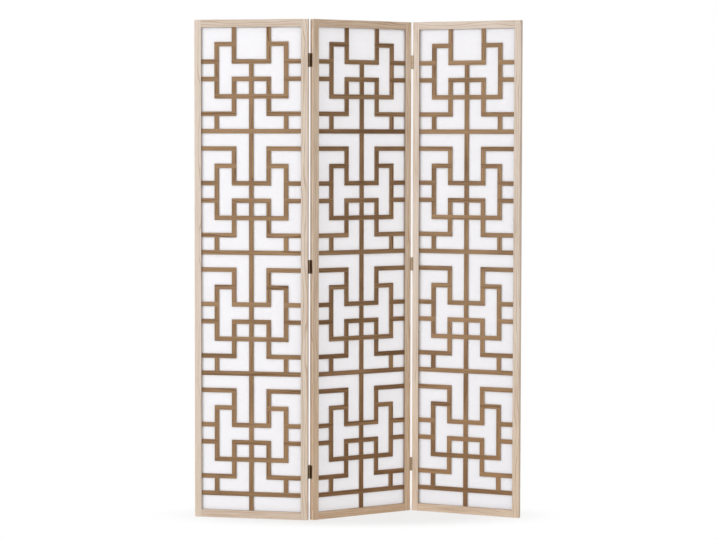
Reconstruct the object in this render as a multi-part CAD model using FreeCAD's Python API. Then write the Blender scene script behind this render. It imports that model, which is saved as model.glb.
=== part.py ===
import FreeCAD, Part
import math
import os

from FreeCAD import Vector

# Three-leaf folding paper screen, standing in a zigzag.  Millimetres, +Z up.
# The front faces -Y.  The origin lies on the floor at the middle of the plan.
# Each leaf is drawn on its own first: x across it from its left edge, y from
# its front face to its back face, z from the floor.  It is then stood at its angle.

# ---------------------------------------------------------------- leaf frame
panel_width = 416.0
panel_height = 1790.0
panel_thickness = 19.0
stile_width = 25.0
rail_width = 28.0
edge_round = 0.8

# ------------------------------------------------------- lattice and its paper
bar_width = 16.0
bar_thickness = 4.5
paper_thickness = 0.5
groove_depth = 8.0
groove_end_gap = 1.0
grid_margin = 25.0
pattern_repeats = 4
rows_per_repeat = 7
upright_lines = 5

# -------------------------------------------------------------- frame dowels
dowel_diameter = 6.0
dowel_clearance = 0.05
dowel_in_rail = 23.0
dowel_end_space = 0.5
dowel_chamfer = 0.6
dowels_per_corner = 2
wood_behind_dowel = 8.0

# -------------------------------------------------------------- butt hinges
hinge_height = 48.0
top_hinge_from_top = 145.0
low_hinge_from_floor = 172.0
hinges_per_edge = 3
leaf_thickness = 1.2
leaf_depth = 15.5
leaf_face_gap = 0.6
knuckle_diameter = 6.0
knuckle_face_gap = 0.2
knuckle_end_gap = 0.4
middle_knuckle_length = 26.6
leaf_notch_clearance = 0.4
pin_diameter = 3.0
pin_clearance = 0.05
pin_head_diameter = 4.6
pin_head_height = 0.9
pin_head_round = 0.5

# ------------------------------------------------------------- hinge screws
screw_diameter = 2.8
screw_clearance = 0.05
screw_tip_length = 3.0
screw_tip_diameter = 0.8
pilot_end_space = 0.5
wood_behind_screw = 3.2
slot_width = 0.7
slot_depth = 0.5
screw_row_spacing = 16.0
screw_from_leaf_end = 4.9
screw_stagger = 4.4

# ----------------------------------------------------- how the leaves stand
middle_yaw = 31.6
left_fold = 42.4
right_fold = 55.2

# ------------------------------------------------------------ worked-out sizes
opening_width = panel_width - 2 * stile_width
mid_thickness = panel_thickness / 2
row_count = pattern_repeats * rows_per_repeat
crossbar_pitch = (panel_height - 2 * grid_margin) / row_count
upright_pitch = (opening_width + bar_width) / (upright_lines + 1)
groove_width = 2 * bar_thickness + paper_thickness
insert_depth = groove_depth - groove_end_gap
insert_left = stile_width - insert_depth
insert_right = panel_width - insert_left
insert_bottom = rail_width - insert_depth
insert_top = panel_height - insert_bottom
dowel_in_stile = stile_width - wood_behind_dowel
solid_rail = rail_width - groove_depth
dowel_gap = (solid_rail - dowels_per_corner * dowel_diameter) / (dowels_per_corner + 1)
knuckle_radius = knuckle_diameter / 2
pin_radius = pin_diameter / 2
bore_radius = pin_radius + pin_clearance
pivot_from_edge = leaf_thickness + leaf_face_gap / 2
pivot_from_face = knuckle_radius + knuckle_face_gap
screw_radius = screw_diameter / 2
screw_head_radius = screw_radius + leaf_thickness
screw_in_wood = stile_width - groove_depth - wood_behind_screw
outer_screw_inset = leaf_depth - screw_from_leaf_end
inner_screw_inset = outer_screw_inset - screw_stagger
top_hinge_height = panel_height - top_hinge_from_top
hinge_step = (top_hinge_height - low_hinge_from_floor) / (hinges_per_edge - 1)
hinge_names = ("low", "middle", "top")
screw_places = (
    (outer_screw_inset, -screw_row_spacing),
    (inner_screw_inset, 0.0),
    (outer_screw_inset, screw_row_spacing),
)

X_AXIS = Vector(1, 0, 0)
Y_AXIS = Vector(0, 1, 0)
Z_AXIS = Vector(0, 0, 1)
ORIGIN = Vector(0, 0, 0)


def block(x0, x1, y0, y1, z0, z1):
    """A plain block between two opposite corners."""
    return Part.makeBox(x1 - x0, y1 - y0, z1 - z0, Vector(x0, y0, z0))


def eased_board(board, along):
    """The board with the four arrises that run along it rounded."""
    long_edges = []
    for edge in board.Edges:
        direction = edge.tangentAt(edge.FirstParameter)
        if abs(direction.dot(along)) > math.cos(math.radians(1)):
            long_edges.append(edge)
    return board.makeFillet(edge_round, long_edges)


def round_edges(shape):
    """The circular edges of a shape."""
    return [edge for edge in shape.Edges if isinstance(edge.Curve, Part.Circle)]


def is_beyond(edge, height, outward):
    """True where a circular edge lies past a height, up (1) or down (-1)."""
    return (edge.Curve.Center.z - height) * outward > pin_head_height / 2


def mirrored_across(shape):
    """The shape moved to the other side of the leaf, left for right."""
    return shape.mirror(Vector(panel_width / 2, 0, 0), X_AXIS)


def mirrored_through(shape):
    """The shape moved to the other face of the leaf, front for back."""
    return shape.mirror(Vector(0, mid_thickness, 0), Y_AXIS)


def upside_down(shape):
    """The shape moved to the other end of the leaf, foot for head."""
    return shape.mirror(Vector(0, 0, panel_height / 2), Z_AXIS)


# ----------------------------------------------------------------- leaf frame
def dowel_heights():
    """Heights of the dowels of a bottom corner."""
    first = dowel_gap + dowel_diameter / 2
    return [first + (dowel_gap + dowel_diameter) * i for i in range(dowels_per_corner)]


def dowel_hole(height):
    """The hole for one dowel at a left corner, through stile and rail ends."""
    start = stile_width - dowel_in_stile - dowel_end_space
    length = dowel_in_stile + dowel_in_rail + 2 * dowel_end_space
    radius = dowel_diameter / 2 + dowel_clearance
    return Part.makeCylinder(radius, length, Vector(start, mid_thickness, height), X_AXIS)


def dowel(height):
    """One dowel at a left corner, its two ends chamfered."""
    start = Vector(stile_width - dowel_in_stile, mid_thickness, height)
    peg = Part.makeCylinder(dowel_diameter / 2, dowel_in_stile + dowel_in_rail, start, X_AXIS)
    return peg.makeChamfer(dowel_chamfer, round_edges(peg))


def all_corners(shape):
    """A feature of the lower left corner, repeated at the four corners."""
    lower = [shape, mirrored_across(shape)]
    return lower + [upside_down(piece) for piece in lower]


def groove_around_opening():
    """The groove in the inner edges that takes the lattice and the paper."""
    depth = groove_depth
    front = mid_thickness - groove_width / 2
    back = mid_thickness + groove_width / 2
    left = stile_width - depth
    bottom = rail_width - depth
    return block(left, panel_width - left, front, back, bottom, panel_height - bottom)


def frame_cuts():
    """Everything that is taken out of the frame members from inside."""
    cuts = [groove_around_opening()]
    for height in dowel_heights():
        cuts += all_corners(dowel_hole(height))
    return cuts


def left_stile(pilot_holes):
    """The upright member at the left edge, with its hinge screw holes."""
    board = block(0, stile_width, 0, panel_thickness, 0, panel_height)
    return eased_board(board, Z_AXIS).cut(frame_cuts() + pilot_holes)


def bottom_rail():
    """The cross member at the foot, between the two stiles."""
    right = panel_width - stile_width
    board = block(stile_width, right, 0, panel_thickness, 0, rail_width)
    return eased_board(board, X_AXIS).cut(frame_cuts())


# -------------------------------------------------------------------- lattice
def row_height(row):
    """Height of a horizontal grid line, counted down from the top."""
    return panel_height - grid_margin - crossbar_pitch * row


def line_place(line):
    """Distance across the leaf of an upright grid line, 1 to upright_lines."""
    middle_line = (upright_lines + 1) / 2
    return panel_width / 2 + (line - middle_line) * upright_pitch


def crossbar(row, first_line, last_line):
    """Outline of a crossbar: line 0 is the left stile, the last the right one."""
    left = insert_left
    if first_line > 0:
        left = line_place(first_line) - bar_width / 2
    right = insert_right
    if last_line <= upright_lines:
        right = line_place(last_line) + bar_width / 2
    middle = row_height(row)
    return (left, right, middle - bar_width / 2, middle + bar_width / 2)


def upright(line, first_row, last_row):
    """Outline of an upright: row 0 is the top rail, the last the bottom one."""
    top = insert_top
    if first_row > 0:
        top = row_height(first_row) + bar_width / 2
    bottom = insert_bottom
    if last_row < row_count:
        bottom = row_height(last_row) - bar_width / 2
    middle = line_place(line)
    return (middle - bar_width / 2, middle + bar_width / 2, bottom, top)


def crossbar_outlines():
    """All the crossbars of one leaf, repeat by repeat from the top."""
    outer = upright_lines + 1
    bars = []
    for repeat in range(pattern_repeats):
        row = repeat * rows_per_repeat
        if repeat > 0:
            bars += [crossbar(row, 0, 2), crossbar(row, 4, outer)]
        bars += [crossbar(row + 1, 1, 2), crossbar(row + 1, 4, 5)]
        for inner_row in (row + 2, row + 3):
            bars += [crossbar(inner_row, 0, 1), crossbar(inner_row, 2, 4)]
            bars += [crossbar(inner_row, 5, outer)]
        bars += [crossbar(row + 4, 1, 5)]
        bars += [crossbar(row + 5, 0, 2), crossbar(row + 5, 4, outer)]
        bars += [crossbar(row + 6, 0, outer)]
    return bars


def upright_outlines():
    """All the uprights of one leaf, the long middle one first."""
    bars = [upright(3, 2, row_count)]
    for repeat in range(pattern_repeats):
        row = repeat * rows_per_repeat
        for line in (1, 5):
            bars += [upright(line, row + 1, row + 4), upright(line, row + 5, row + 6)]
        for line in (2, 4):
            bars += [upright(line, row, row + 2), upright(line, row + 3, row + 5)]
    return bars


def laps(outline, others):
    """The rectangles that a strip shares with the strips it crosses or meets."""
    shared = []
    for other in others:
        left = max(outline[0], other[0])
        right = min(outline[1], other[1])
        bottom = max(outline[2], other[2])
        top = min(outline[3], other[3])
        if left < right and bottom < top:
            shared.append((left, right, bottom, top))
    return shared


def front_strips(outlines, others, lap_front, lap_back):
    """Strips of the front lattice, halved where they lap the other set."""
    front = mid_thickness - paper_thickness / 2 - bar_thickness
    back = front + bar_thickness
    strips = []
    for outline in outlines:
        left, right, bottom, top = outline
        strip = block(left, right, front, back, bottom, top)
        halvings = []
        for lap in laps(outline, others):
            lap_left, lap_right, lap_bottom, lap_top = lap
            halvings.append(block(lap_left, lap_right, lap_front, lap_back, lap_bottom, lap_top))
        strips.append(strip.cut(halvings))
    return strips


def front_lattice():
    """Crossbars and uprights that lie against the front of the paper."""
    front = mid_thickness - paper_thickness / 2 - bar_thickness
    half = front + bar_thickness / 2
    back = front + bar_thickness
    across = crossbar_outlines()
    upward = upright_outlines()
    crossbars = front_strips(across, upward, half, back)
    uprights = front_strips(upward, across, front, half)
    return crossbars, uprights


def paper_sheet():
    """The sheet held between the two lattices, its rim in the groove."""
    front = mid_thickness - paper_thickness / 2
    back = front + paper_thickness
    return block(insert_left, insert_right, front, back, insert_bottom, insert_top)


# --------------------------------------------------------------------- hinges
# A hinge leaf and its screws are drawn at the leaf's right edge with the pivot
# in front, round a middle height of zero.
def pivot_cylinder(radius, low, high):
    """A cylinder round the pivot line between two heights."""
    base = Vector(panel_width + pivot_from_edge, -pivot_from_face, low)
    return Part.makeCylinder(radius, high - low, base, Z_AXIS)


def outer_knuckle_spans():
    """Heights of the two end knuckles."""
    inner = middle_knuckle_length / 2 + knuckle_end_gap
    return [(-hinge_height / 2, -inner), (inner, hinge_height / 2)]


def middle_knuckle_spans():
    """Heights of the single middle knuckle."""
    return [(-middle_knuckle_length / 2, middle_knuckle_length / 2)]


def screw_cutter(inset, height, clearance):
    """A screw's body with its countersunk head, grown by a clearance."""
    face = panel_width + leaf_thickness
    head_place = Vector(face, inset, height)
    narrow = screw_radius + clearance
    wide = screw_head_radius + clearance
    head = Part.makeCone(wide, narrow, leaf_thickness, head_place, -X_AXIS)
    shank_place = Vector(panel_width, inset, height)
    shank_length = screw_in_wood - screw_tip_length
    shank = Part.makeCylinder(narrow, shank_length, shank_place, -X_AXIS)
    return head.fuse(shank)


def hinge_leaf(knuckle_spans):
    """One hinge leaf: plate on the edge face, knuckles outside the panel face."""
    plate_front = knuckle_radius + leaf_notch_clearance - pivot_from_face
    edge_face = panel_width
    outer_face = panel_width + leaf_thickness
    half_height = hinge_height / 2
    plate = block(edge_face, outer_face, plate_front, leaf_depth, -half_height, half_height)
    neck_front = (bore_radius + knuckle_radius) / 2 - pivot_from_face
    pieces = []
    for low, high in knuckle_spans:
        pieces.append(block(edge_face, outer_face, neck_front, leaf_depth, low, high))
        pieces.append(pivot_cylinder(knuckle_radius, low, high))
    cuts = [pivot_cylinder(bore_radius, -half_height, half_height)]
    for inset, height in screw_places:
        cuts.append(screw_cutter(inset, height, screw_clearance))
    return plate.fuse(pieces).cut(cuts).removeSplitter()


def hinge_pin():
    """The pin through the knuckles, with a low rounded head at each end."""
    half_height = hinge_height / 2
    shaft = pivot_cylinder(pin_radius, -half_height, half_height)
    heads = []
    for base, outward in ((half_height, 1), (-half_height, -1)):
        centre = Vector(panel_width + pivot_from_edge, -pivot_from_face, base)
        head = Part.makeCylinder(pin_head_diameter / 2, pin_head_height, centre, Z_AXIS * outward)
        outer_rims = [edge for edge in round_edges(head) if is_beyond(edge, base, outward)]
        heads.append(head.makeFillet(pin_head_round, outer_rims))
    return shaft.fuse(heads).removeSplitter()


def hinge_screw(inset, height):
    """A countersunk wood screw with a slotted head and a tapered tip."""
    body = screw_cutter(inset, height, 0.0)
    tip_start = panel_width - screw_in_wood + screw_tip_length
    tip_place = Vector(tip_start, inset, height)
    tip = Part.makeCone(screw_radius, screw_tip_diameter / 2, screw_tip_length, tip_place, -X_AXIS)
    face = panel_width + leaf_thickness
    reach = screw_head_radius + screw_clearance
    slot_floor = face - slot_depth
    slot = block(slot_floor, face + slot_depth, inset - reach, inset + reach,
                 height - slot_width / 2, height + slot_width / 2)
    return body.fuse(tip).cut(slot).removeSplitter()


def pilot_hole(inset, height):
    """The hole in the edge of the stile that a hinge screw goes into."""
    depth = screw_in_wood + pilot_end_space
    radius = screw_radius + screw_clearance
    return Part.makeCylinder(radius, depth, Vector(panel_width, inset, height), -X_AXIS)


def hinge_heights():
    """Middle heights of the hinges on one edge, from the lowest up."""
    return [low_hinge_from_floor + hinge_step * i for i in range(hinges_per_edge)]


def at_edge(shape, edge, face):
    """A piece drawn at the right edge and the front, moved to its real place."""
    placed = shape
    if edge == "left":
        placed = mirrored_across(placed)
    if face == "back":
        placed = mirrored_through(placed)
    return placed


def raised(shape, height):
    """A copy of the shape moved up."""
    return shape.translated(Z_AXIS * height)


def edge_pilot_holes(edge, face):
    """All the screw holes in one hinged edge of a leaf."""
    holes = []
    for height in hinge_heights():
        for inset, offset in screw_places:
            holes.append(at_edge(pilot_hole(inset, height + offset), edge, face))
    return holes


def edge_screws(edge, face):
    """All the hinge screws in one hinged edge of a leaf."""
    screws = []
    for height in hinge_heights():
        for inset, offset in screw_places:
            screws.append(at_edge(hinge_screw(inset, height + offset), edge, face))
    return screws


def hinge_nodes(edge, face, spans, ending, with_pins, joint_name):
    """The hinge leaves along one edge, and the pins if this edge carries them."""
    nodes = {}
    for name, height in zip(hinge_names, hinge_heights()):
        leaf = raised(hinge_leaf(spans), height)
        nodes[f"{joint_name}_{name}_hinge_{ending}"] = [at_edge(leaf, edge, face)]
        if with_pins:
            pin = raised(hinge_pin(), height)
            nodes[f"{joint_name}_{name}_hinge_pin"] = [at_edge(pin, edge, face)]
    return nodes


# --------------------------------------------------------------------- leaves
def panel_nodes(name, hinged_edges):
    """Frame, lattice and paper of one leaf, drawn in the leaf's own place."""
    holes = {"left": [], "right": []}
    for edge, face in hinged_edges:
        holes[edge] = edge_pilot_holes(edge, face)
    right_holes = [mirrored_across(hole) for hole in holes["right"]]
    crossbars, uprights = front_lattice()
    dowels = []
    for height in dowel_heights():
        dowels += all_corners(dowel(height))
    rail = bottom_rail()
    return {
        f"{name}_left_stile": [left_stile(holes["left"])],
        f"{name}_right_stile": [mirrored_across(left_stile(right_holes))],
        f"{name}_bottom_rail": [rail],
        f"{name}_top_rail": [upside_down(rail)],
        f"{name}_corner_dowels": dowels,
        f"{name}_front_crossbars": crossbars,
        f"{name}_front_uprights": uprights,
        f"{name}_back_crossbars": [mirrored_through(strip) for strip in crossbars],
        f"{name}_back_uprights": [mirrored_through(strip) for strip in uprights],
        f"{name}_paper": [paper_sheet()],
    }


def turned(point, yaw):
    """A plan point turned about the vertical by an angle in degrees."""
    return FreeCAD.Rotation(Z_AXIS, yaw).multVec(point)


def stood(nodes, place, yaw):
    """The nodes of one leaf turned to its angle and moved to its place."""
    placement = FreeCAD.Placement(place, FreeCAD.Rotation(Z_AXIS, yaw))
    moved = {}
    for name, shapes in nodes.items():
        moved[name] = [shape.transformed(placement.toMatrix(), True) for shape in shapes]
    return moved


def screen_nodes():
    """Every piece of the screen, with the plan centred on the origin."""
    outer = outer_knuckle_spans()
    single = middle_knuckle_spans()

    left = panel_nodes("left_panel", [("right", "back")])
    left["left_panel_hinge_screws"] = edge_screws("right", "back")
    left.update(hinge_nodes("right", "back", single, "inner_leaf", False, "left"))

    middle = panel_nodes("middle_panel", [("left", "back"), ("right", "front")])
    middle["middle_panel_left_hinge_screws"] = edge_screws("left", "back")
    middle["middle_panel_right_hinge_screws"] = edge_screws("right", "front")
    middle.update(hinge_nodes("left", "back", outer, "outer_leaf", True, "left"))
    middle.update(hinge_nodes("right", "front", outer, "outer_leaf", True, "right"))

    right = panel_nodes("right_panel", [("left", "front")])
    right["right_panel_hinge_screws"] = edge_screws("left", "front")
    right.update(hinge_nodes("left", "front", single, "inner_leaf", False, "right"))

    left_yaw = middle_yaw - left_fold
    right_yaw = middle_yaw - right_fold
    back = panel_thickness + pivot_from_face
    front = -pivot_from_face
    beyond = panel_width + pivot_from_edge
    left_pivot = turned(Vector(-pivot_from_edge, back, 0), middle_yaw)
    right_pivot = turned(Vector(beyond, front, 0), middle_yaw)
    left_place = left_pivot - turned(Vector(beyond, back, 0), left_yaw)
    right_place = right_pivot - turned(Vector(-pivot_from_edge, front, 0), right_yaw)

    nodes = stood(left, left_place, left_yaw)
    nodes.update(stood(middle, ORIGIN, middle_yaw))
    nodes.update(stood(right, right_place, right_yaw))

    plan = Part.makeCompound([shape for shapes in nodes.values() for shape in shapes]).BoundBox
    centring = Vector(-plan.Center.x, -plan.Center.y, 0)
    for name, pivot in (("left", left_pivot), ("right", right_pivot)):
        place = pivot + centring
        print(f"{name} pivot x {place.x:.4f} y {place.y:.4f}")
    print(f"size x {plan.XLength:.3f} y {plan.YLength:.3f} z {plan.ZLength:.3f}")
    return {
        name: [shape.translated(centring) for shape in shapes]
        for name, shapes in nodes.items()
    }


os.makedirs("parts", exist_ok=True)
for node_name, node_shapes in screen_nodes().items():
    node_shape = node_shapes[0]
    if len(node_shapes) > 1:
        node_shape = Part.makeCompound(node_shapes)
    node_shape.exportStep(f"parts/{node_name}.step")
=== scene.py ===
import math
from collections import namedtuple

import bpy
import numpy as np
from mathutils import Matrix, Vector


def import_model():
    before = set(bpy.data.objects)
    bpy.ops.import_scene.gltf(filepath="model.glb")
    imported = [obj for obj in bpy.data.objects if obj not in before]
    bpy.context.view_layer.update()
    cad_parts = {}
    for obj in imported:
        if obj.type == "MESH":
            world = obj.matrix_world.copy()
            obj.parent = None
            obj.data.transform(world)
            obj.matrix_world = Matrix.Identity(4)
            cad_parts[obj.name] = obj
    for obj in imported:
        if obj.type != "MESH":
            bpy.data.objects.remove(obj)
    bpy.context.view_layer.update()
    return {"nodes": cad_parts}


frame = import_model()

LEAVES = ("left_panel", "middle_panel", "right_panel")
SIDES = ("front", "back")

# Each leaf is measured in its own three directions, in millimetres, which are so many to a metre.
ACROSS, DEPTH, HEIGHT = 0, 1, 2
MILLIMETRES = 1000.0

# The width of the lattice's strips, and how many lines they lie on.
STRIP_WIDTH = 16.0
UPRIGHT_LINES = 5
CROSSBAR_LINES = 27


# ------------------------------------------------------------------- colours
def painted(red, green, blue):
    """The linear colour of display values from 0 to 255."""
    shares = [value / 255 for value in (red, green, blue)]
    return tuple(v / 12.92 if v <= 0.04045 else ((v + 0.055) / 1.055) ** 2.4 for v in shares) + (1.0,)


# The softwood frame. The middle leaf's is cut from yellower wood.
FRAME_PALE = painted(229, 214, 199)
FRAME_DARK = painted(188, 161, 136)
FRAME_PALE_WARM = painted(230, 211, 190)
FRAME_DARK_WARM = painted(190, 158, 129)
FRAME_RUBBED = painted(234, 222, 209)

# The stained strips of the lattice.
STRIP_PALE = painted(169, 136, 100)
STRIP_DARK = painted(111, 79, 47)
STRIP_RUBBED = painted(184, 155, 122)

PEG_PALE = painted(224, 203, 170)
PEG_DARK = painted(190, 160, 120)

PAPER_WHITE = painted(244, 243.4, 244.6)
PAPER_SHADED = painted(239, 238.4, 239.6)
PAPER_FIBRE = painted(251, 251, 251)

BRASS_RUBBED_AND_HIGHLIGHT = painted(174, 154, 127)
BRASS_DARK = painted(130, 108, 81)

WHITE = (1.0, 1.0, 1.0, 1.0)

# How much darker than usual each board of a leaf is: partly each board's own tone, partly painted shade
# and painted light matched board by board.
Tones = namedtuple("Tones", "left_stile right_stile bottom_rail top_rail strips")
BOARD_TONES_AND_SHADE = {
    "left_panel": Tones(left_stile=-0.27, right_stile=-0.13, bottom_rail=0.0, top_rail=0.02, strips=0.0),
    # The middle leaf turns away from the key light: its darker rails and strips are painted shade.
    "middle_panel": Tones(left_stile=-0.04, right_stile=-0.09, bottom_rail=0.06, top_rail=0.08, strips=0.2),
    "right_panel": Tones(left_stile=-0.22, right_stile=-0.14, bottom_rail=-0.05, top_rail=-0.08, strips=0.0),
}

# Painted warm light from the floor: the wood turns warmer towards the floor. What the tint does to its
# colour, between which heights, and how far on each leaf.
FLOOR_GLOW_TINT = (1.0, 0.94, 0.855, 1.0)
GLOW_BELOW, GLOW_FULL = 900.0, 100.0
FLOOR_GLOW_SHARE = {"left_panel": 0.35, "middle_panel": 1.0, "right_panel": 1.0}


# ---------------------------------------------------------- numbers of the wood
# How often each kind of figure changes in a millimetre across a board, through it and along it.
WANDER_RATES = (0.02, 0.02, 0.0035)
STREAK_RATES = (0.9, 0.9, 0.012)
FIBRE_RATES = (5.0, 5.0, 0.09)
CLOUD_RATES = (0.05, 0.05, 0.006)

# Where the middle of the tree lies from the middle of a board, what chance adds to that, and how far the
# rings wander. Boards lie at a chance place along the tree.
HEART_ACROSS, HEART_ACROSS_CHANCE = -67.0, 90.0
HEART_DEPTH, HEART_DEPTH_CHANCE = 12.0, 40.0
WANDER = 44.0
TREE_LENGTH = 5000.0

# The share of a year at which its wood starts to darken, at which it is dark, and at which the dark ends.
DARK_FROM, DARK_BY, DARK_ENDS = 0.25, 0.85, 0.94
# The share of years that are weak, and how dark a weak and the strongest year are.
WEAK_YEARS = 0.45
WEAK_YEAR, STRONG_YEAR = 0.45, 2.4

# What each kind of figure adds to the tone, which goes from 0 for pale to 1 for dark.
LATEWOOD_TONE, STREAK_TONE, FIBRE_TONE, CLOUD_TONE = 0.28, 0.75, 0.26, 1.0
TONE_START = -0.72

# Arrises are rubbed: from this far off, from here fully, and this unevenly.
RUB_FROM, RUB_FULL, RUB_UNEVEN = 2.1, 0.6, 1.6

# The frame's faces towards the opening carry painted shade in the strips' dark brown, for the recess where
# they meet the lattice and the paper. It starts before the face, is full past it, and its border is uneven.
INNER_PAINTED_SHADE = 0.75
SHADE_BEFORE, SHADE_PAST, SHADE_UNEVEN = 0.5, 0.15, 0.7

# What tells the boards of different leaves, and the strips behind the paper, from the others.
LEAF_SEED, LEAF_SEED_STEP, BEHIND_SEED = 7.0, 200.0, 61.0

ROUGHNESS_RANGE = 0.08
WOOD_RELIEF = 0.00012

# A row of boards: the direction from one to the next, the place of the first, the step to the next, half
# the width and depth of one, the tones of the first two with their painted shade and light, and how strong
# the painted shade on their inner faces is.
Boards = namedtuple("Boards", "axis first step half_width half_depth tones inner_stain")

# A kind of wood: its colours, how wide a year's growth is, how far the arrises are rubbed, how rough it is,
# and how much its boards differ.
Look = namedtuple("Look", "pale dark rubbed ring_width rub roughness variety")

FRAME_LOOK = Look(
    pale=FRAME_PALE, dark=FRAME_DARK, rubbed=FRAME_RUBBED,
    ring_width=3.1, rub=0.55, roughness=0.6, variety=0.05,
)
WARM_LOOK = FRAME_LOOK._replace(pale=FRAME_PALE_WARM, dark=FRAME_DARK_WARM)
STRIP_LOOK = Look(
    pale=STRIP_PALE, dark=STRIP_DARK, rubbed=STRIP_RUBBED,
    ring_width=2.3, rub=0.5, roughness=0.64, variety=0.35,
)

# --------------------------------------------------- numbers of the other finishes
# Paper changes across and up the sheet. Its third direction only tells the leaves apart.
PAPER_CLOUD_RATES = (0.07, 0.07, 1.0)
PULP_RATES = (1.1, 1.1, 1.0)
# Long fibres are strewn in three directions: the angle of each, and how often a fibre changes along itself.
STREWN = ((0.35, 0.05), (1.25, 0.035), (2.3, 0.06))
STREWN_ACROSS = 1.4
STREWN_FROM, STREWN_FULL = 0.64, 0.74
# The least and the most of the light that goes on through the paper.
THROUGH_LEAST, THROUGH_MOST = 0.57, 0.7
PAPER_RELIEF = 0.0001

# The pegs' grain runs across the leaf.
PEG_STREAK_RATES = (0.03, 1.8, 1.8)
PEG_FLECK_RATES = (0.5, 4.0, 4.0)
PEG_RELIEF = 0.00006

# Brass has worn patches, specks, and scratches that run level. It turns bright from one sum of them to
# another, and sooner where there is more wear.
PATCH_RATES = (0.22, 0.22, 0.16)
SPECK_RATES = (2.6, 2.6, 2.6)
SCRATCH_RATES = (1.5, 1.5, 14.0)
BRIGHT_FROM, BRIGHT_FULL = 0.68, 1.0
HINGE_WEAR, SCREW_WEAR = 0.12, 0.2
# Knuckles are rubbed bright, and painted brighter still as a highlight, within this distance of their
# pivot, in millimetres.
KNUCKLE_RADIUS = 3.0
KNUCKLE_RUB_AND_HIGHLIGHT_FROM, KNUCKLE_RUB_AND_HIGHLIGHT_FULL = KNUCKLE_RADIUS + 0.6, KNUCKLE_RADIUS + 0.1
BRASS_RELIEF = 0.00004


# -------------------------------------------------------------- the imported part
def points(node):
    """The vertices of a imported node, in metres."""
    mesh = frame["nodes"][node].data
    flat = np.empty(len(mesh.vertices) * 3, np.float32)
    mesh.vertices.foreach_get("co", flat)
    return flat.reshape(-1, 3).astype(float)


class Leaf:
    """One leaf, measured from its lower left front corner."""

    def __init__(self, name, seed):
        self.name = name
        self.seed = seed
        rail_in_plan = points(name + "_bottom_rail")[:, :2]
        x, y = np.linalg.svd(rail_in_plan - rail_in_plan.mean(0), full_matrices=False)[2][0]
        self.yaw = math.atan(y / x)
        self.corner = np.zeros(3)
        low, high = self.box("left_stile")
        self.corner = low
        self.thickness = high[DEPTH] - low[DEPTH]

    def box(self, part):
        """The lowest and highest corner of a part in the leaf's own directions."""
        cos, sin = math.cos(self.yaw), math.sin(self.yaw)
        to_leaf = np.array([[cos, -sin, 0], [sin, cos, 0], [0, 0, 1]])
        turned = MILLIMETRES * points(f"{self.name}_{part}") @ to_leaf
        return turned.min(0) - self.corner, turned.max(0) - self.corner

    def frame_boards(self, first, last, axis):
        """Two members of the frame that lie opposite each other."""
        low, high = self.box(first)
        _, far = self.box(last)
        half = (high[axis] - low[axis]) / 2
        tones = BOARD_TONES_AND_SHADE[self.name]
        return Boards(
            axis=axis,
            first=low[axis] + half,
            step=far[axis] - high[axis],
            half_width=half,
            half_depth=self.thickness / 2,
            tones=(getattr(tones, first), getattr(tones, last)),
            inner_stain=INNER_PAINTED_SHADE,
        )

    def lattice_boards(self, part, lines, axis):
        """The lattice strips that run one way, on both faces of the paper."""
        low, high = self.box("front_" + part)
        tone = BOARD_TONES_AND_SHADE[self.name].strips
        return Boards(
            axis=axis,
            first=low[axis] + STRIP_WIDTH / 2,
            step=(high[axis] - low[axis] - STRIP_WIDTH) / (lines - 1),
            half_width=STRIP_WIDTH / 2,
            half_depth=self.thickness / 2 - low[DEPTH],
            tones=(tone, tone),
            inner_stain=0.0,
        )


def pivots():
    """The places in plan of the two hinge lines, in millimetres."""
    for side in ("left", "right"):
        pin = points(side + "_low_hinge_pin")
        x, y, _ = MILLIMETRES * (pin.min(0) + pin.max(0)) / 2
        yield x, y, 0.0


# ----------------------------------------------------------------- node trees
# The sockets of a Mix node that carry colours.
MIX_SHARE, MIX_A, MIX_B = 0, 6, 7
MIX_RESULT = 2


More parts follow.
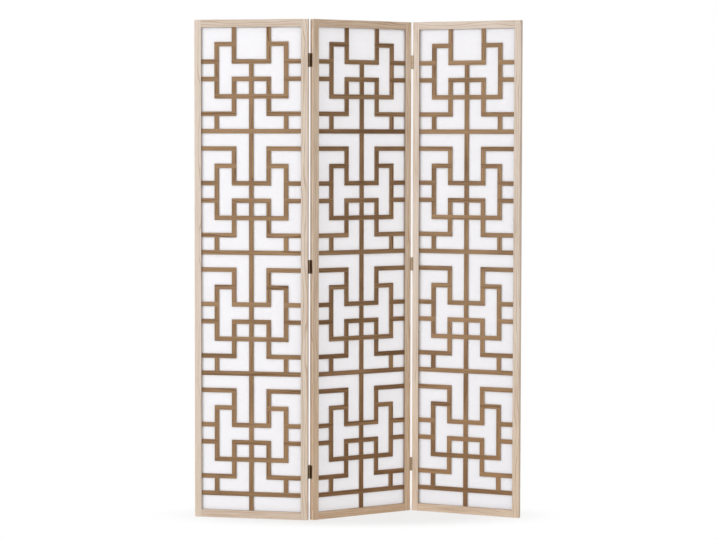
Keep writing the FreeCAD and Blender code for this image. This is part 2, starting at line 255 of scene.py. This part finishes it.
class Shading:
    """A node tree being built.

    Each call adds a node, fed by numbers or by other nodes' outputs, and returns what comes out.
    """

    def __init__(self, tree):
        self.tree = tree
        self.tree.nodes.clear()

    def node(self, kind, inputs, **settings):
        """A node with those inputs and settings. This call returns the node itself."""
        made = self.tree.nodes.new(kind)
        for key, value in settings.items():
            setattr(made, key, value)
        for key, value in inputs.items():
            if isinstance(value, bpy.types.NodeSocket):
                self.tree.links.new(value, made.inputs[key])
            else:
                made.inputs[key].default_value = value
        return made

    def calc(self, operation, *values):
        return self.node("ShaderNodeMath", dict(enumerate(values)), operation=operation).outputs[0]

    def total(self, *weighted):
        """The sum of (value, weight) pairs."""
        result = 0.0
        for value, weight in weighted:
            result = self.calc("MULTIPLY_ADD", value, weight, result)
        return result

    def vector(self, x, y, z):
        return self.node("ShaderNodeCombineXYZ", {0: x, 1: y, 2: z}).outputs[0]

    def split(self, vector):
        return tuple(self.node("ShaderNodeSeparateXYZ", {0: vector}).outputs)

    def noise(self, place, detail):
        """Smooth noise from 0 to 1 that changes over about one unit of place."""
        inputs = {"Vector": place, "Scale": 1.0, "Detail": detail}
        return self.node("ShaderNodeTexNoise", inputs).outputs[0]

    def stretched(self, place, rates, detail=2.0):
        """Noise whose rates of change, in turns for each unit of place, differ along the three directions."""
        scaled = self.node("ShaderNodeVectorMath", {0: place, 1: rates}, operation="MULTIPLY").outputs[0]
        return self.noise(scaled, detail)

    def chance(self, seed):
        """A node whose outputs are random from 0 to 1 and the same for the same seed."""
        return self.node("ShaderNodeTexWhiteNoise", {"W": seed}, noise_dimensions="1D")

    def ramp(self, value, start, end, low=0.0, high=1.0):
        """A smooth step from low to high as value goes from start to end."""
        inputs = {"Value": value, "From Min": start, "From Max": end, "To Min": low, "To Max": high}
        return self.node("ShaderNodeMapRange", inputs, interpolation_type="SMOOTHSTEP").outputs[0]

    def blend(self, share, a, b, blend_type="MIX"):
        """Colour a with colour b mixed into it by share."""
        inputs = {MIX_SHARE: share, MIX_A: a, MIX_B: b}
        made = self.node("ShaderNodeMix", inputs, data_type="RGBA", blend_type=blend_type)
        return made.outputs[MIX_RESULT]

    def place(self, location=(0, 0, 0), yaw=0.0):
        """The place on the piece as it stands at rest, in millimetres, turned back by yaw."""
        source = self.node("ShaderNodeTexCoord", {}).outputs["Object"]
        return self.node("ShaderNodeMapping", {
            "Vector": source,
            "Location": location,
            "Rotation": (0, 0, -yaw),
            "Scale": (MILLIMETRES, MILLIMETRES, MILLIMETRES),
        }).outputs[0]

    def place_on(self, leaf):
        """The place on a leaf: across, in depth and in height."""
        return self.split(self.place(tuple(-leaf.corner), leaf.yaw))

    def bump(self, height, depth):
        """A normal for relief of that depth in metres."""
        return self.node("ShaderNodeBump", {"Height": height, "Distance": depth}).outputs[0]

    def mix_shaders(self, share, a, b):
        return self.node("ShaderNodeMixShader", {0: share, 1: a.outputs[0], 2: b.outputs[0]})

    def output(self, shader):
        self.node("ShaderNodeOutputMaterial", {"Surface": shader.outputs[0]})


def new_material(name):
    """An empty material and the node tree in it."""
    material = bpy.data.materials.new(name)
    material.use_nodes = True
    return material, Shading(material.node_tree)


# ----------------------------------------------------------------------- wood
def growth_rings(s, grain, offset, side, chances, ring_width):
    """The dark wood of each year's growth, in rings round the middle of the tree."""
    wander = s.stretched(grain, WANDER_RATES)
    ring_x = s.total(
        (offset, 1.0),
        (chances[1], HEART_ACROSS_CHANCE),
        (wander, WANDER),
        (1.0, HEART_ACROSS),
    )
    ring_y = s.total((side, 1.0), (chances[2], HEART_DEPTH_CHANCE), (1.0, HEART_DEPTH))
    squares = s.total((s.calc("MULTIPLY", ring_x, ring_x), 1.0), (s.calc("MULTIPLY", ring_y, ring_y), 1.0))
    years = s.calc("DIVIDE", s.calc("SQRT", squares), ring_width)
    year = s.calc("FRACT", years)
    latewood = s.calc("MULTIPLY", s.ramp(year, DARK_FROM, DARK_BY), s.ramp(year, 1.0, DARK_ENDS))
    weather = s.chance(s.calc("FLOOR", years)).outputs["Value"]
    return s.calc("MULTIPLY", latewood, s.ramp(weather, WEAK_YEARS, 1.0, WEAK_YEAR, STRONG_YEAR))


def rubbed_arrises(s, boards, offset, side, streaks):
    """1 on the arrises of a board, fading to 0 away from them."""
    from_side = s.calc("SUBTRACT", boards.half_width, s.calc("ABSOLUTE", offset))
    from_face = s.calc("SUBTRACT", boards.half_depth, s.calc("ABSOLUTE", side))
    from_edge = s.calc("MAXIMUM", from_side, from_face)
    return s.ramp(s.calc("MULTIPLY_ADD", streaks, RUB_UNEVEN, from_edge), RUB_FROM, RUB_FULL)


def painted_shade_inside(s, boards, number, offset, streaks):
    """1 on the faces towards the opening, which get painted shade: the far side of board 0 and the near side
    of board 1.
    """
    inward = s.calc("MULTIPLY", offset, s.calc("MULTIPLY_ADD", number, -2.0, 1.0))
    reach = s.calc("MULTIPLY_ADD", streaks, SHADE_UNEVEN, inward)
    return s.ramp(reach, boards.half_width - SHADE_BEFORE, boards.half_width + SHADE_PAST)


def wood(name, leaf, boards, look):
    """Sawn and sanded wood whose rings and fibres run along each board, each board cut from another place."""
    material, s = new_material(name)
    across, depth, height = s.place_on(leaf)
    wide, long = (across, height) if boards.axis == ACROSS else (height, across)
    from_first = s.calc("SUBTRACT", wide, boards.first)
    number = s.calc("ROUND", s.calc("DIVIDE", from_first, boards.step))
    offset = s.calc("SUBTRACT", from_first, s.calc("MULTIPLY", number, boards.step))
    side = s.calc("SUBTRACT", depth, leaf.thickness / 2)

    # A strip behind the paper isn't cut from the same place as the one in front of it.
    behind = s.calc("GREATER_THAN", side, 0.0) if boards.half_depth < leaf.thickness / 2 else 0.0
    seed = s.total((number, 1.0), (behind, BEHIND_SEED), (leaf.seed, 1.0))
    chances = s.split(s.chance(seed).outputs["Color"])

    grain = s.vector(offset, side, s.calc("MULTIPLY_ADD", chances[0], TREE_LENGTH, long))
    latewood = growth_rings(s, grain, offset, side, chances, look.ring_width)
    streaks = s.stretched(grain, STREAK_RATES, 3.0)
    fibres = s.stretched(grain, FIBRE_RATES)
    clouds = s.stretched(grain, CLOUD_RATES)

    first_tone, second_tone = boards.tones
    # The board's tone, with the painted shade and light set for each board.
    of_board = s.total(
        (number, second_tone - first_tone),
        (chances[0], look.variety),
        (1.0, first_tone - look.variety / 2),
    )
    tone = s.total(
        (latewood, LATEWOOD_TONE),
        (streaks, STREAK_TONE),
        (fibres, FIBRE_TONE),
        (clouds, CLOUD_TONE),
        (of_board, 1.0),
        (1.0, TONE_START),
    )
    colour = s.blend(s.ramp(tone, 0.0, 1.0), look.pale, look.dark)
    # Painted warm light from the floor, stronger lower down.
    floor_glow = s.ramp(height, GLOW_BELOW, GLOW_FULL, 0.0, FLOOR_GLOW_SHARE[leaf.name])
    colour = s.blend(floor_glow, colour, FLOOR_GLOW_TINT, "MULTIPLY")
    rubbed = rubbed_arrises(s, boards, offset, side, streaks)
    colour = s.blend(s.calc("MULTIPLY", rubbed, look.rub), colour, look.rubbed)
    # Painted shade on the faces towards the opening, in the strips' dark brown.
    if boards.inner_stain:
        inner_shade = painted_shade_inside(s, boards, number, offset, streaks)
        colour = s.blend(s.calc("MULTIPLY", inner_shade, boards.inner_stain), colour, STRIP_DARK)

    smoothest, roughest = look.roughness - ROUGHNESS_RANGE, look.roughness + ROUGHNESS_RANGE
    polish = s.total((streaks, 0.6), (fibres, 0.4))
    relief = s.total((fibres, 0.6), (latewood, 0.5), (streaks, 0.4))
    s.output(s.node("ShaderNodeBsdfPrincipled", {
        "Base Color": colour,
        "Roughness": s.ramp(polish, 0.2, 0.8, roughest, smoothest),
        "Specular IOR Level": 0.35,
        "Normal": s.bump(relief, WOOD_RELIEF),
    }))
    return material


# ------------------------------------------------------------- other finishes
def paper(name, leaf):
    """Fibre paper that lets light through: a soft cloud of pulp with long fibres strewn in it."""
    material, s = new_material(name)
    across, _, height = s.place_on(leaf)
    sheet = s.vector(across, height, leaf.seed)
    clouds = s.stretched(sheet, PAPER_CLOUD_RATES, 4.0)
    pulp = s.stretched(sheet, PULP_RATES)
    strewn = 0.0
    for angle, along in STREWN:
        inputs = {"Vector": sheet, "Angle": angle}
        turned = s.node("ShaderNodeVectorRotate", inputs, rotation_type="Z_AXIS").outputs[0]
        strands = s.stretched(turned, (STREWN_ACROSS, along, 1.0), 1.0)
        strewn = s.calc("MAXIMUM", strewn, s.ramp(strands, STREWN_FROM, STREWN_FULL))

    colour = s.blend(s.calc("MULTIPLY", strewn, 0.7), PAPER_WHITE, PAPER_FIBRE)
    shade = s.ramp(s.total((clouds, 0.7), (pulp, 0.3)), 0.3, 0.75, 0.0, 0.5)
    colour = s.blend(shade, colour, PAPER_SHADED)
    normal = s.bump(s.total((pulp, 0.4), (strewn, 1.0), (clouds, 0.5)), PAPER_RELIEF)
    front = s.node("ShaderNodeBsdfPrincipled", {
        "Base Color": colour,
        "Roughness": s.ramp(pulp, 0.2, 0.8, 0.78, 0.92),
        "Specular IOR Level": 0.2,
        "Normal": normal,
    })
    through = s.node("ShaderNodeBsdfTranslucent", {"Color": colour, "Normal": normal})
    thinness = s.total((clouds, 0.6), (strewn, -0.5), (pulp, 0.4))
    share = s.ramp(thinness, 0.0, 0.9, THROUGH_LEAST, THROUGH_MOST)
    s.output(s.mix_shaders(share, front, through))
    return material


def pegs(name, leaf):
    """Turned pegs, whose grain runs across the leaf."""
    material, s = new_material(name)
    grain = s.vector(*s.place_on(leaf))
    streaks = s.stretched(grain, PEG_STREAK_RATES, 3.0)
    flecks = s.stretched(grain, PEG_FLECK_RATES, 1.0)
    tone = s.total((streaks, 0.8), (flecks, 0.4), (1.0, -0.1))
    s.output(s.node("ShaderNodeBsdfPrincipled", {
        "Base Color": s.blend(s.ramp(tone, 0.2, 0.9), PEG_PALE, PEG_DARK),
        "Roughness": s.ramp(streaks, 0.2, 0.8, 0.5, 0.68),
        "Specular IOR Level": 0.35,
        "Normal": s.bump(flecks, PEG_RELIEF),
    }))
    return material


def brass(name, wear):
    """Brass gone brown, rubbed bright in patches, and on the knuckles rubbed bright and painted with a
    highlight. More wear makes more of it bright.
    """
    material, s = new_material(name)
    place = s.place()
    patches = s.stretched(place, PATCH_RATES, 4.0)
    specks = s.stretched(place, SPECK_RATES, 3.0)
    scratches = s.stretched(place, SCRATCH_RATES, 1.0)
    worn = s.total((patches, 0.75), (specks, 0.25), (scratches, 0.1))
    rubbed_and_highlit = s.ramp(worn, BRIGHT_FROM - wear, BRIGHT_FULL - wear)

    x, y, _ = s.split(place)
    plan = s.vector(x, y, 0.0)
    from_pivots = []
    for pivot in pivots():
        distance = s.node("ShaderNodeVectorMath", {0: plan, 1: pivot}, operation="DISTANCE")
        from_pivots.append(distance.outputs["Value"])
    # The knuckles: rubbed bright, and painted brighter as a highlight.
    knuckle_rub_and_highlight_mask = s.ramp(s.calc("MINIMUM", *from_pivots), KNUCKLE_RUB_AND_HIGHLIGHT_FROM, KNUCKLE_RUB_AND_HIGHLIGHT_FULL)
    knuckle_rub_and_highlight = s.calc("MULTIPLY", knuckle_rub_and_highlight_mask, s.ramp(patches, 0.2, 0.6, 0.55, 1.0))
    rubbed_and_highlit = s.calc("MAXIMUM", rubbed_and_highlit, knuckle_rub_and_highlight)

    s.output(s.node("ShaderNodeBsdfPrincipled", {
        "Base Color": s.blend(rubbed_and_highlit, BRASS_DARK, BRASS_RUBBED_AND_HIGHLIGHT),
        "Metallic": 1.0,
        "Roughness": s.ramp(s.total((rubbed_and_highlit, 0.6), (specks, 0.5)), 0.1, 1.0, 0.56, 0.3),
        "Normal": s.bump(s.total((specks, 0.5), (scratches, 0.5)), BRASS_RELIEF),
    }))
    return material


# --------------------------------------------------------- dressing the pieces
def dress(node, material):
    """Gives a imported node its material."""
    for slot in frame["nodes"][node].material_slots:
        slot.link = "OBJECT"
        slot.material = material


def dress_leaf(leaf, frame_look):
    """Gives the frame, the lattice, the paper and the pegs of a leaf their materials."""
    for along, first, last, axis in (
        ("height", "left_stile", "right_stile", ACROSS),
        ("across", "bottom_rail", "top_rail", HEIGHT),
    ):
        boards = leaf.frame_boards(first, last, axis)
        material = wood(f"{leaf.name}_frame_{along}", leaf, boards, frame_look)
        dress(f"{leaf.name}_{first}", material)
        dress(f"{leaf.name}_{last}", material)

    for along, part, lines, axis in (
        ("height", "uprights", UPRIGHT_LINES, ACROSS),
        ("across", "crossbars", CROSSBAR_LINES, HEIGHT),
    ):
        boards = leaf.lattice_boards(part, lines, axis)
        material = wood(f"{leaf.name}_lattice_{along}", leaf, boards, STRIP_LOOK)
        for side in SIDES:
            dress(f"{leaf.name}_{side}_{part}", material)

    dress(leaf.name + "_paper", paper(leaf.name + "_paper", leaf))
    dress(leaf.name + "_corner_dowels", pegs(leaf.name + "_pegs", leaf))


def dress_hinges():
    hinge_brass = brass("hinge_brass", HINGE_WEAR)
    screw_brass = brass("screw_brass", SCREW_WEAR)
    for node in frame["nodes"]:
        if node.endswith("_screws"):
            dress(node, screw_brass)
        elif "_hinge_" in node:
            dress(node, hinge_brass)


for order, name in enumerate(LEAVES):
    leaf = Leaf(name, LEAF_SEED + LEAF_SEED_STEP * order)
    dress_leaf(leaf, WARM_LOOK if name == "middle_panel" else FRAME_LOOK)
dress_hinges()


# ------------------------------------------------------------------ the studio
# How far the floor reaches and how little it lies below the feet, in metres.
FLOOR_REACH = 40.0
FLOOR_DROP = 0.0002
# The floor's shadow shows near the screen and fades away from it. Near is an ellipse of this half width and
# half depth, in metres, and the fade starts and ends at so many times its size. The third number divides the
# height, which hardly counts.
FLOOR_NEAR = (0.45, 0.165, 1.0)
FADE_FROM, FADE_BY = 0.8, 1.8
SHADOW_KEPT = 0.3
FLOOR_PALE, FLOOR_PALER = (0.80, 0.80, 0.80, 1.0), (0.83, 0.83, 0.83, 1.0)

WORLD_LEVEL = 0.42
WORLD_COLOUR = (1.0, 0.965, 0.915, 1.0)

LAMP_DISTANCE = 12.0
LAMPS_AIM_AT = Vector((0.0, 0.0, 0.9))


def seen_white(s):
    """1 for rays that show the background to the eye, straight or by a reflection or through something."""
    path = s.node("ShaderNodeLightPath", {})
    shown = s.calc("MAXIMUM", path.outputs["Is Camera Ray"], path.outputs["Is Glossy Ray"])
    return s.calc("MAXIMUM", shown, path.outputs["Is Transmission Ray"])


def floor_material():
    """A pale floor that fades into white away from the screen, and can't be seen from below."""
    material, s = new_material("studio_floor")
    source = s.node("ShaderNodeTexCoord", {}).outputs["Object"]
    around = s.node("ShaderNodeVectorMath", {0: source, 1: FLOOR_NEAR}, operation="DIVIDE").outputs[0]
    distance = s.node("ShaderNodeVectorMath", {0: around}, operation="LENGTH").outputs["Value"]
    pale = s.blend(s.ramp(s.noise(source, 3.0), 0.3, 0.7), FLOOR_PALE, FLOOR_PALER)
    plain = s.node("ShaderNodeBsdfDiffuse", {"Color": pale})
    white = s.node("ShaderNodeEmission", {"Color": WHITE, "Strength": 1.0})
    faded = s.ramp(distance, FADE_FROM, FADE_BY, 1.0 - SHADOW_KEPT, 1.0)
    top = s.mix_shaders(s.calc("MULTIPLY", seen_white(s), faded), plain, white)
    clear = s.node("ShaderNodeBsdfTransparent", {})
    from_below = s.node("ShaderNodeNewGeometry", {}).outputs["Backfacing"]
    s.output(s.mix_shaders(from_below, top, clear))
    return material


def floor():
    mesh = bpy.data.meshes.new("studio_floor")
    corners = [(-1, -1), (1, -1), (1, 1), (-1, 1)]
    places = [(x * FLOOR_REACH, y * FLOOR_REACH, -FLOOR_DROP) for x, y in corners]
    mesh.from_pydata(places, [], [(0, 1, 2, 3)])
    made = bpy.data.objects.new("studio_floor", mesh)
    bpy.context.scene.collection.objects.link(made)
    made.data.materials.append(floor_material())


def world():
    """Even light from all round, which the eye sees as white."""
    made = bpy.data.worlds.new("studio_light")
    made.use_nodes = True
    bpy.context.scene.world = made
    s = Shading(made.node_tree)
    seen = seen_white(s)
    background = s.node("ShaderNodeBackground", {
        "Color": s.blend(seen, WORLD_COLOUR, WHITE),
        "Strength": s.ramp(seen, 0.0, 1.0, WORLD_LEVEL, 1.0),
    })
    s.node("ShaderNodeOutputWorld", {"Surface": background.outputs[0]})


def lamp(name, azimuth, elevation, size, level, colour):
    """A square soft light. Azimuth is 0 in front and 90 at the right, in degrees.

    level is about what it adds to a white surface that faces it.
    """
    data = bpy.data.lights.new(name, "AREA")
    data.size = size
    data.energy = level * math.pi ** 2 * LAMP_DISTANCE ** 2
    data.color = colour
    made = bpy.data.objects.new(name, data)
    bpy.context.scene.collection.objects.link(made)
    a, e = math.radians(azimuth), math.radians(elevation)
    outward = Vector((math.sin(a) * math.cos(e), -math.cos(a) * math.cos(e), math.sin(e)))
    turn = outward.to_track_quat("Z", "Y").to_matrix().to_4x4()
    made.matrix_world = Matrix.Translation(LAMPS_AIM_AT + LAMP_DISTANCE * outward) @ turn


floor()
world()
lamp("key_light", azimuth=-48, elevation=14, size=2.9, level=0.43, colour=(1.0, 1.02, 1.06))
lamp("fill_light", azimuth=50, elevation=10, size=7.2, level=0.17, colour=(1.0, 0.95, 0.88))
lamp("back_light", azimuth=-160, elevation=12, size=4.8, level=0.51, colour=(0.96, 0.98, 1.02))


# ------------------------------------------------------------------ the camera
# The photograph's frame, focal length and the row at which its optical axis lies, in pixels, and the
# camera's place in metres and angles in radians.
IMAGE_WIDTH, IMAGE_HEIGHT = 716, 540
FOCAL_PIXELS = 2200.0
AXIS_ROW = 240.0
CAMERA_PLACE = (-0.0001, -7.9443, 1.3665)
LOOKS_DOWN, LEANS = 0.0461, 0.0018
SENSOR_WIDTH = 36.0

camera = bpy.data.objects.new("camera", bpy.data.cameras.new("camera"))
bpy.context.scene.collection.objects.link(camera)
bpy.context.scene.camera = camera
camera.data.sensor_width = SENSOR_WIDTH
camera.data.lens = FOCAL_PIXELS * SENSOR_WIDTH / IMAGE_WIDTH
camera.data.shift_y = (AXIS_ROW - IMAGE_HEIGHT / 2) / IMAGE_WIDTH
tilt = Matrix.Rotation(math.pi / 2 - LOOKS_DOWN, 4, "X") @ Matrix.Rotation(LEANS, 4, "Z")
camera.matrix_world = Matrix.Translation(CAMERA_PLACE) @ tilt

bpy.context.scene.view_settings.view_transform = "Standard"
